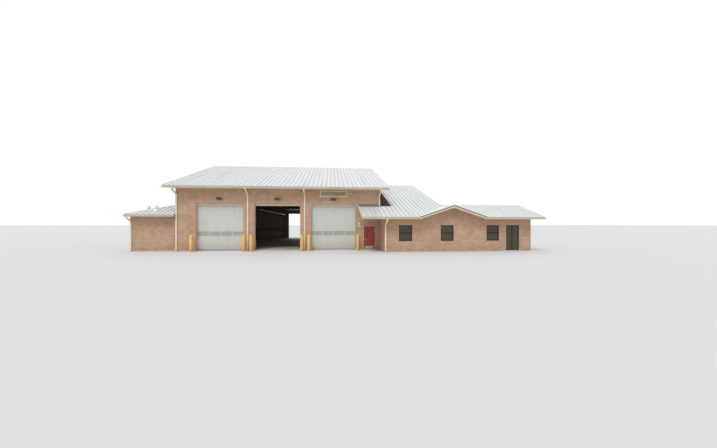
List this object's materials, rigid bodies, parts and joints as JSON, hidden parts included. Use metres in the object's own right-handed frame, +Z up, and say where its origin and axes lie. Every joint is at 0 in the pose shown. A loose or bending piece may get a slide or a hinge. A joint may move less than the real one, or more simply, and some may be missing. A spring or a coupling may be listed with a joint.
{
  "type": "fire station building",
  "caption": "Low fire station: gabled apparatus hall with sectional vehicle doors, a canopied office wing and a lean-to, block walls and standing seam roofs, hinged entry door.",
  "frame": {"origin": "on the ground at the centre of the apparatus hall, on the underside of the floor slab", "axes": "+X to the right seen from the street, +Y to the rear, +Z up"},
  "size_m": [38.2, 26.99, 10.1283],
  "materials": {
    "split_block": "split-face coloured concrete block",
    "concrete": "trowelled concrete",
    "roof_metal": "satin metallic coated sheet",
    "trim_paint": "satin factory paint",
    "door_paint": "satin factory paint, embossed",
    "galvanised": "galvanised",
    "clear_glass": "clear",
    "tinted_glass": "tinted",
    "frosted_glass": "frosted grey",
    "entry_red": "gloss paint",
    "entry_frame_paint": "gloss paint",
    "hardware_steel": "satin",
    "bronze_aluminium": "dark anodised",
    "cladding_paint": "ribbed sheet, satin",
    "bollard_sleeve": "sun-faded sleeve",
    "light_housing": "dark powder coat",
    "sign_paint": "bare framed plate",
    "vent_paint": "white paint"
  },
  "bodies": {
    "building": {"floor_slab": "concrete", "hall_front_piers": "split_block", "entry_wall_piers": "split_block", "entry_wall_over": "split_block", "door_headers": "split_block", "hall_rear_piers": "split_block", "hall_left_wall": "split_block", "hall_right_wall": "split_block", "hall_roof_slopes": "roof_metal", "ridge_caps": "roof_metal", "hall_roof_trim": "trim_paint", "doorway_trim": "trim_paint", "front_door_left": "door_paint", "front_door_middle": "door_paint", "front_door_right": "door_paint", "rear_door_left": "door_paint", "rear_door_middle": "door_paint", "rear_door_right": "door_paint", "door_glazing": "frosted_glass", "door_tracks": "galvanised", "track_hangers": "galvanised", "door_springs": "galvanised", "exhaust_rail": "galvanised", "entry_door_frame": "entry_frame_paint", "entry_hinges_frame": "hardware_steel", "wing_front_wall": "split_block", "wing_rear_walls": "split_block", "wing_side_walls": "split_block", "wing_left_gable": "cladding_paint", "window_frames": "bronze_aluminium", "window_glass": "tinted_glass", "wing_front_slope": "roof_metal", "wing_rear_slopes": "roof_metal", "link_roof": "roof_metal", "front_gable_roof": "roof_metal", "wing_roof_trim": "trim_paint", "lean_walls": "split_block", "lean_roof": "roof_metal", "lean_roof_trim": "trim_paint", "roof_vents": "vent_paint", "gutters": "trim_paint", "downspouts": "trim_paint", "bollards": "bollard_sleeve", "outside_lights": "light_housing", "sign_panel": "sign_paint"},
    "entry_door": {"entry_door_leaf": "entry_red", "entry_door_lite": "clear_glass", "entry_door_hardware": "hardware_steel", "entry_hinges_leaf": "hardware_steel"}
  },
  "joints": [
    {"name": "entry_door_hinge", "type": "hinge", "parent": "building", "child": "entry_door", "pos_m": [8.927, -11.297, 1.1], "axis": [0, 0, 1], "range_deg": [0, 100]}
  ]
}
